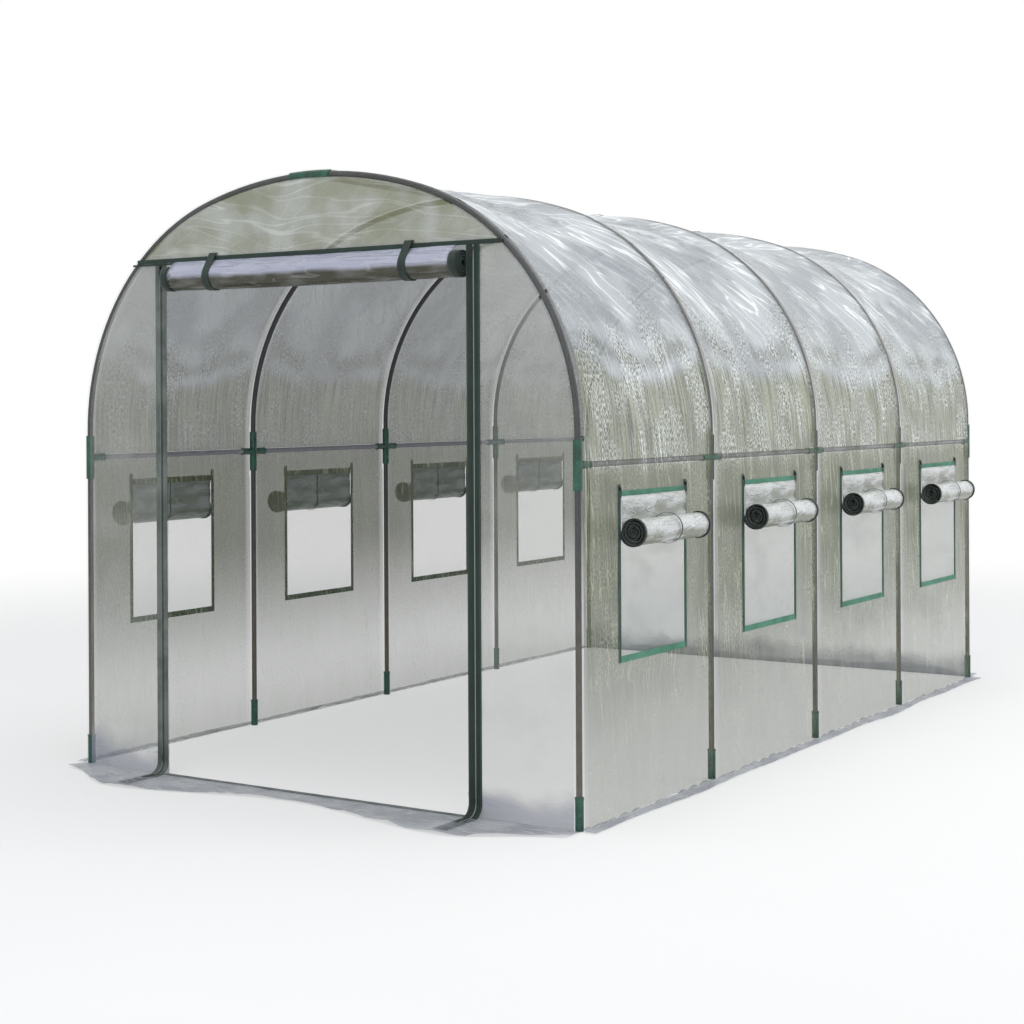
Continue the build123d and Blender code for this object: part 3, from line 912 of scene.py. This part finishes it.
def rolled_sheet(name, section, stations, place, finish, thickness, rumple, seed):
    """Sweeps a roll's section along its length, with the dents that loose film takes."""
    travel = [0.0]
    for a, b in zip(section, section[1:]):
        travel.append(travel[-1] + math.dist(a, b))

    def spot(along, wound):
        (across, up), run = wound
        angle = math.atan2(up, across)
        dent = drift(along * 9, math.cos(angle) * 1.4, math.sin(angle) * 1.4 + seed)
        dent += 0.6 * drift(along * 23, math.cos(angle) * 3, math.sin(angle) * 3 + seed)
        size = 1 + rumple * dent
        return place(along, across * size, up * size), (along, run)

    return grid_sheet(name, stations, list(zip(section, travel)), spot, finish, thickness)


def window_place(side, middle, centre_x, centre_z, lean=0.0):
    """Where a point of a window roll's section lies, with a lean along the wall for a tie."""
    def place(along, across, up):
        return (side * (centre_x + across), middle + along + lean * (across / 0.05), centre_z + up)
    return place


def window_flaps(side_name, side):
    """The film flaps of one wall, each hanging from its top tape and rolled up outwards."""
    low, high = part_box(f"{side_name}_window_rolls")
    radius, core = window_roll_radius, 0.012
    tape_radius, tape_core, tape_turns, tape_thickness = 0.0468, 0.010, 3.6, 0.0042
    tape_reach, tape_width = 0.010, 0.009
    film_dents, tape_dents = 0.018, 0.012
    centre_x = max(abs(low.x), abs(high.x)) - window_roll_half
    centre_z = low.z + window_roll_half
    turns = wound_turns(window_film_wound, radius, core)
    top = window_high + 0.004
    bindings, ties = [], []
    for number, middle in enumerate(bay_places, start=1):
        seed = side * 11 + number * 3.7
        hang = []
        for i in range(7):
            share = i / 7
            slack = 0.004 * math.sin(share * math.pi) + 0.002 * math.sin(share * 9)
            hang.append((-radius + slack, (top - centre_z) * (1 - share)))
        section = hang + spiral(radius, core, turns, math.pi)
        half = window_width / 2 + tape_reach - tape_width
        stations = spaced(-half, 2 * half, 22)
        place = window_place(side, middle, centre_x, centre_z)
        name = f"{side_name}_window_flap_{number}"
        flap = rolled_sheet(name, section, stations, place, "flap_film", film_thickness, film_dents, seed)
        hand_in(flap, "rolled_film", f"{side_name}_window_rolls")
        bound = spiral(tape_radius, tape_core, tape_turns, math.pi)
        for end in (-1, 1):
            marks = sorted([end * (half - 0.001), end * (half + 0.004), end * (half + tape_width)])
            name = f"binding_{number}_{end}"
            bindings.append(rolled_sheet(name, bound, marks, place, "binding", tape_thickness, tape_dents, seed))
        ties.append(window_tie(side, middle, centre_x, centre_z, top))
    both = joined_pieces(f"{side_name}_flap_bindings", bindings)
    hand_in(both, "roll_binding", f"{side_name}_window_roll_ends")
    tied = joined_pieces(f"{side_name}_flap_ties", ties)
    hand_in(tied, "elastic_tie", f"{side_name}_window_straps")


def window_tie(side, middle, centre_x, centre_z, top):
    """The elastic tie: down behind the roll from the top tape, and once round it."""
    radius, half_width, thickness, lean = 0.0482, 0.003, 0.0012, 0.012
    section = [(-0.0462, (top - centre_z) * (1 - i / 6)) for i in range(6)]
    count = 36
    for i in range(count + 1):
        angle = math.pi + 2 * math.pi * i / count
        section.append((radius * math.cos(angle) if i < count else -0.0475, radius * math.sin(angle)))
    place = window_place(side, middle, centre_x, centre_z, lean)

    def spot(along, step):
        i, (across, up) = step
        return place(along, across, up), (along, i * 0.01)

    edges = (-half_width, half_width)
    return grid_sheet(f"tie_{middle}", edges, list(enumerate(section)), spot, "elastic", thickness)


def door_place(centre_y, centre_z, sag):
    """Where a point of the door roll's section lies, on a roll that sags between its straps."""
    def place(along, across, up):
        drop = sag * math.cos(math.pi * along / 0.8)
        return (along, centre_y + across, centre_z + up - drop)
    return place


def rolled_door():
    """The film door, rolled up outwards under the cross seam, with green bound edges."""
    radius, core = door_roll_radius, 0.011
    tape_radius, tape_core, tape_turns, tape_thickness = 0.0448, 0.010, 4.4, 0.0044
    film_dents, tape_dents, seed = 0.022, 0.02, 2.5
    low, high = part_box("door_roll_ends")
    centre_y = (low.y + high.y) / 2
    centre_z = (low.z + high.z) / 2
    half = high.x
    top = seam_z - 0.004 - centre_z
    start = math.pi / 2 + math.acos(radius / top)
    touch = (radius * math.cos(start), radius * math.sin(start))
    hang = [(touch[0] * i / 6, top + (touch[1] - top) * i / 6) for i in range(6)]
    section = hang + spiral(radius, core, wound_turns(door_film_wound, radius, core), start)
    inner = half - door_binding_width
    stations = spaced(-inner, 2 * inner, 44)
    place = door_place(centre_y, centre_z, 0.002)
    door = rolled_sheet(
        "rolled_door_sheet", section, stations, place, "door_film", film_thickness, film_dents, seed
    )
    hand_in(door, "rolled_film", "door_roll")
    bound = spiral(tape_radius, tape_core, tape_turns, start)
    ends = []
    for end in (-1, 1):
        marks = sorted([end * (inner - 0.002), end * (inner + 0.008), end * (inner + 0.018), end * half])
        name = f"door_end_{end}"
        ends.append(rolled_sheet(name, bound, marks, place, "webbing", tape_thickness, tape_dents, seed))
    binding = joined_pieces("door_sheet_binding", ends)
    hand_in(binding, "roll_binding", "door_roll_ends")


# Nets
def window_nets(side_name, side):
    """The insect nets sewn behind the windows of one wall, each a little slack."""
    half = window_width / 2
    height = window_high - window_low
    net_inset, net_thickness = 0.0022, 0.0005
    for number, middle in enumerate(bay_places, start=1):
        ys = spaced(middle - half, 2 * half, 14)
        zs = spaced(window_low, height, 16)

        def spot(z, y):
            slack = math.cos(math.pi * (y - middle) / window_width) * math.sin(math.pi * (z - window_low) / height)
            bulge = 0.004 * slack * drift(y * 7, z * 7, side * 3)
            return (side * (wall_face - net_inset + bulge - 0.002 * slack), y, z), (y, z)

        name = f"{side_name}_window_net_{number}"
        net = grid_sheet(name, zs, ys, spot, "net", net_thickness, flipped=side < 0)
        hand_in(net, "window_net", f"{side_name}_window_nets")


# Zips
tooth_pitch = 0.0035


def block(name, middle, along, outward, length, width, height):
    """A block with a length along one axis, a height along another and its width along the third."""
    extents = [abs(a) * length + abs(o) * height for a, o in zip(along, outward)]
    size = [extent if extent else width for extent in extents]
    bpy.ops.object.select_all(action="DESELECT")
    bpy.ops.mesh.primitive_cube_add(size=1, location=middle, scale=size)
    bpy.ops.object.transform_apply(location=True, rotation=True, scale=True)
    piece = bpy.context.object
    piece.name = name
    return piece


@contextmanager
def picked_faces(piece, wanted):
    """Edit mode, with the faces of a piece selected that a rule names."""
    activate(piece)
    bpy.ops.object.mode_set(mode="EDIT")
    bpy.ops.mesh.select_mode(type="FACE")
    bpy.ops.mesh.select_all(action="DESELECT")
    mesh = bmesh.from_edit_mesh(piece.data)
    mesh.normal_update()
    for face in mesh.faces:
        if wanted(face):
            face.select_set(True)
    bmesh.update_edit_mesh(piece.data)
    yield
    bpy.ops.object.mode_set(mode="OBJECT")


def facing(direction):
    """A rule for the faces that look along a direction."""
    return lambda face: face.normal.dot(direction) > 0.9


def narrowed(axis, share):
    """A scale along one axis alone."""
    return tuple(share if abs(a) > 0.5 else 1 for a in axis)


def rounded_edges(piece, width):
    apply_modifier(
        piece, "BEVEL", width=width, segments=2, limit_method="ANGLE", angle_limit=math.radians(35)
    )


def tooth_pair(name, middle, along, outward):
    """Two nylon teeth that reach past each other, each narrower at its top."""
    across = along.cross(outward)
    length, width, lap, proud, top_share = 0.0012, 0.0034, 0.0010, 0.0003, 0.62
    pair = []
    for hand in (-1, 1):
        place = middle + across * lap * hand + along * tooth_pitch * 0.25 * hand + outward * proud
        tooth = block(name, place, along, outward, length, width, length)
        with picked_faces(tooth, facing(outward)):
            bpy.ops.transform.resize(value=tuple(1 if abs(o) > 0.5 else top_share for o in outward))
        pair.append(tooth)
    return joined_pieces(name, pair)


def tooth_row(name, start, end, outward):
    """Teeth in pairs along a straight piece of zip."""
    along = (end - start).normalized()
    count = int((end - start).length / tooth_pitch)
    row = tooth_pair(name, start + along * tooth_pitch / 2, along, outward)
    step = along * tooth_pitch
    apply_modifier(
        row, "ARRAY", count=count, use_relative_offset=False, use_constant_offset=True, constant_offset_displace=step
    )
    return row


def tooth_bend(name, start, along, outward, centre, turn):
    """Teeth in pairs round a bend, spun about its middle."""
    bend = tooth_pair(name, start, along, outward)
    count = round((start - centre).length * abs(turn) / tooth_pitch)
    with picked_faces(bend, lambda face: True):
        bpy.ops.mesh.spin(steps=count, dupli=True, angle=turn, center=centre, axis=(1, 0, 0))
    return bend


def slider(name, middle, outward):
    """A zip slider on its teeth: a waisted body, a bail and a slotted pull that hangs down."""
    across = upwards.cross(outward)
    body = block(f"{name}_body", middle + outward * 0.0018, upwards, outward, 0.0130, 0.0096, 0.0036)
    with picked_faces(body, facing(-upwards)):
        bpy.ops.transform.resize(value=narrowed(across, 0.62))
    with picked_faces(body, facing(outward)):
        bpy.ops.mesh.inset(thickness=0.0016)
        bpy.ops.transform.translate(value=outward * 0.0007)
    bail = block(f"{name}_bail", middle + outward * 0.0050, upwards, outward, 0.0072, 0.0022, 0.0020)
    with picked_faces(bail, facing(outward)):
        bpy.ops.transform.resize(value=narrowed(upwards, 0.55))
    hung = middle + outward * 0.0049 - upwards * 0.0150
    pull = block(f"{name}_pull", hung, upwards, outward, 0.0260, 0.0064, 0.0012)
    with picked_faces(pull, facing(-upwards)):
        bpy.ops.transform.resize(value=narrowed(across, 0.72))
    with picked_faces(pull, lambda face: abs(face.normal.dot(outward)) > 0.9):
        bpy.ops.mesh.inset(thickness=0.0017)
        bpy.ops.mesh.bridge_edge_loops()
    for part in (body, bail, pull):
        rounded_edges(part, 0.00045)
    whole = joined_pieces(name, [body, bail, pull])
    activate(whole)
    bpy.ops.object.shade_smooth_by_angle(angle=math.radians(40))
    return whole


def paint(piece, finish):
    piece.data.materials.clear()
    piece.data.materials.append(finishes[finish])


def tape_trim(name, parts, finish):
    """Some parts as one piece of the tapes' trim, in one finish."""
    piece = joined_pieces(name, parts)
    paint(piece, finish)
    hand_in(piece, "green_tape")


def door_zips():
    """Teeth down both jambs, round their bend and out along the ground, with a slider at each top."""
    proud, tape_depth, tape_rest, bend_radius = 0.0015, 0.001, 0.003, 0.040
    coil_front = jamb_tape_front - proud
    back = jamb_tape_front + tape_depth
    centre_y, centre_z = back - bend_radius, tape_rest + bend_radius
    for side_name, side in sides:
        x = side * (jamb_low.x + jamb_high.x) / 2
        top = Vector((x, coil_front, seam_low.z - 0.002))
        straight = tooth_row(f"{side_name}_straight", top, Vector((x, coil_front, centre_z)), forwards)
        start = Vector((x, coil_front, centre_z - tooth_pitch * 0.4))
        centre = Vector((x, centre_y, centre_z))
        bend = tooth_bend(f"{side_name}_bend", start, -upwards, forwards, centre, -math.pi / 2)
        low = Vector((x, centre_y, tape_rest + (back - coil_front)))
        ground = tooth_row(f"{side_name}_ground", low, Vector((x, jamb_low.y + 0.002, low.z)), upwards)
        tape_trim(f"{side_name}_door_zip_teeth", [straight, bend, ground], "teeth")
        name = f"{side_name}_door_slider"
        tape_trim(name, [slider(name, Vector((x, coil_front, seam_low.z - 0.014)), forwards)], "slider")


def window_zips(side_name, side):
    """Teeth and sliders of the zips at both sides of each window of one wall."""
    outward = Vector((side, 0, 0))
    tape_low, tape_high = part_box(f"{side_name}_window_tapes")
    x = side * max(abs(tape_low.x), abs(tape_high.x))
    rows, sliders = [], []
    for number, middle in enumerate(bay_places, start=1):
        for hand in (-1, 1):
            y = middle + hand * (window_width / 2 + zip_gap)
            top = Vector((x, y, tape_high.z - 0.002))
            low = Vector((x, y, tape_low.z + 0.003))
            rows.append(tooth_row(f"{side_name}_teeth_{number}", top, low, outward))
            sliders.append(slider(f"{side_name}_slider_{number}", top - upwards * 0.010, outward))
    tape_trim(f"{side_name}_window_zip_teeth", rows, "teeth")
    tape_trim(f"{side_name}_window_sliders", sliders, "slider")


def folded_strip():
    """The short end of the seam tape, folded back under the crossbar, with its sewn tab."""
    front = film_front - 0.0026
    strip_place = Vector((-0.6665, front, seam_low.z - 0.0042))
    tab_place = Vector((-0.575, front - 0.0004, seam_low.z - 0.0070))
    strip = block("folded_strip", strip_place, rightwards, forwards, 0.189, 0.0062, 0.0050)
    tab = block("strip_tab", tab_place, rightwards, forwards, 0.0130, 0.0200, 0.0060)
    for part in (strip, tab):
        with picked_faces(part, facing(forwards)):
            bpy.ops.mesh.inset(thickness=0.0012)
            bpy.ops.transform.translate(value=forwards * -0.0006)
        rounded_edges(part, 0.0005)
    tape_trim("folded_seam_strip", [strip, tab], "webbing")


# CAD nodes that keep their shape get their finish
kept_nodes = {
    "hoop_tube": [f"hoop_{number}" for number in range(1, bay_count + 2)],
    "rail_tube": ["ridge_rail", "left_side_rail", "right_side_rail"],
    "moulded": [
        "ridge_connectors", "left_side_connectors", "right_side_connectors", "left_foot_sleeves", "right_foot_sleeves"
    ],
    "webbing": ["cross_seam_tape", "door_roll_straps"],
    "sill": ["door_sill_tape"],
    "jamb": ["left_door_zip", "right_door_zip"],
    "window_tape": ["left_window_tapes", "right_window_tapes"],
}


def finish_frame():
    for finish, names in kept_nodes.items():
        for name in names:
            paint(frame["nodes"][name], finish)


# Stage, light and camera
def stage():
    """A plain pale floor that runs into a white background."""
    floor_size, floor_drop = 60, 0.002
    bpy.ops.mesh.primitive_plane_add(size=floor_size, location=(0, 0, -floor_drop))
    floor = bpy.context.object
    floor.name = "studio_floor"
    f = Finish("studio_floor_paint", roughness=0.9)
    x, y, _ = f.split(f.place())
    far = f.maths("SQRT", f.maths("ADD", f.times(x, x), f.times(y, y)))
    tone = f.noise(f.place(), 1.5, 2.0)
    f.colour(f.mix(tone, srgb(236, 236, 236), srgb(240, 240, 240)))
    glow = f.add("Emission", {"Color": (1, 1, 1, 1), "Strength": 1.0})
    share = f.times(f.seen(), f.steps(far, 3.0, 8.0, 0.45, 1.0))
    mixed = f.add("MixShader", {0: share, 1: f.skin.outputs[0], 2: glow.outputs[0]})
    f.put(f.output.inputs["Surface"], mixed.outputs[0])
    floor.data.materials.append(f.material)


def world():
    """White to the camera and in reflections, a plain soft grey light to everything else."""
    sky = bpy.data.worlds.new("studio")
    bpy.context.scene.world = sky
    f = Nodes(sky)
    white = f.add("Background", {"Color": (1, 1, 1, 1)})
    soft = f.add("Background", {"Color": (0.94, 0.97, 1.0, 1), "Strength": 0.62})
    mixed = f.add("MixShader", {0: f.seen(), 1: soft.outputs[0], 2: white.outputs[0]})
    f.add("OutputWorld", {"Surface": mixed.outputs[0]})


def softbox(name, place, target, size, power):
    lamp = bpy.data.lights.new(name, "AREA")
    lamp.shape = "RECTANGLE"
    lamp.size, lamp.size_y = size
    lamp.energy = power
    box = bpy.data.objects.new(name, lamp)
    bpy.context.collection.objects.link(box)
    box.location = place
    box.rotation_euler = (Vector(target) - Vector(place)).to_track_quat("-Z", "Y").to_euler()


def lights():
    softbox("top_softbox", (1.0, -0.5, 6.0), (0, 0, 1), (6, 5), 170)
    softbox("side_softbox", (6.2, 1.6, 4.2), (0.5, 0, 1), (3, 3), 130)
    softbox("door_softbox", (1.5, -7.5, 3.0), (0, 0, 1), (3, 2.5), 70)


def camera():
    """The photograph's view: level, with the horizon shifted up and a slight tilt of the frame."""
    frame_pixels, sensor_width = 1024, 36
    focal_pixels, horizon_row = 1824.7, 403.1
    yaw, tilt = 0.5667, -0.0051
    spot = Vector((3.6949, -6.3464, 1.2526))
    right = Vector((math.cos(yaw), math.sin(yaw), 0))
    view = Vector((-math.sin(yaw), math.cos(yaw), 0))
    across = right * math.cos(tilt) + upwards * math.sin(tilt)
    upward = upwards * math.cos(tilt) - right * math.sin(tilt)
    data = bpy.data.cameras.new("photo_view")
    data.sensor_width = sensor_width
    data.lens = focal_pixels / frame_pixels * sensor_width
    data.shift_y = (horizon_row - frame_pixels / 2) / frame_pixels
    eye = bpy.data.objects.new("photo_view", data)
    bpy.context.collection.objects.link(eye)
    turn = Matrix((across, upward, -view)).transposed().to_4x4()
    eye.matrix_world = Matrix.Translation(spot) @ turn
    bpy.context.scene.camera = eye


camera()
world()
lights()
stage()
finish_frame()
film_cover()
front_pieces = ("front_film_left", "front_film_right", "front_film_over_door")
end_panel("front_film", hoop_places[0] - cover_offset, -1, True, 3, *front_pieces)
end_panel("back_film_sheet", hoop_places[-1] + cover_offset, 1, False, 8, "back_film")
ground_flap("front_flap_sheet", -1, 5, "front_ground_flap")
ground_flap("back_flap_sheet", 1, 6, "back_ground_flap")
side_hem("right_hem_sheet", 1, 4, "right_ground_flap")
side_hem("left_hem_sheet", -1, 7, "left_ground_flap")
rolled_door()
door_zips()
folded_strip()
for side_name, side in sides:
    window_flaps(side_name, side)
    window_nets(side_name, side)
    window_zips(side_name, side)

bpy.context.scene.view_settings.view_transform = "Standard"
bpy.context.scene.cycles.use_light_tree = False
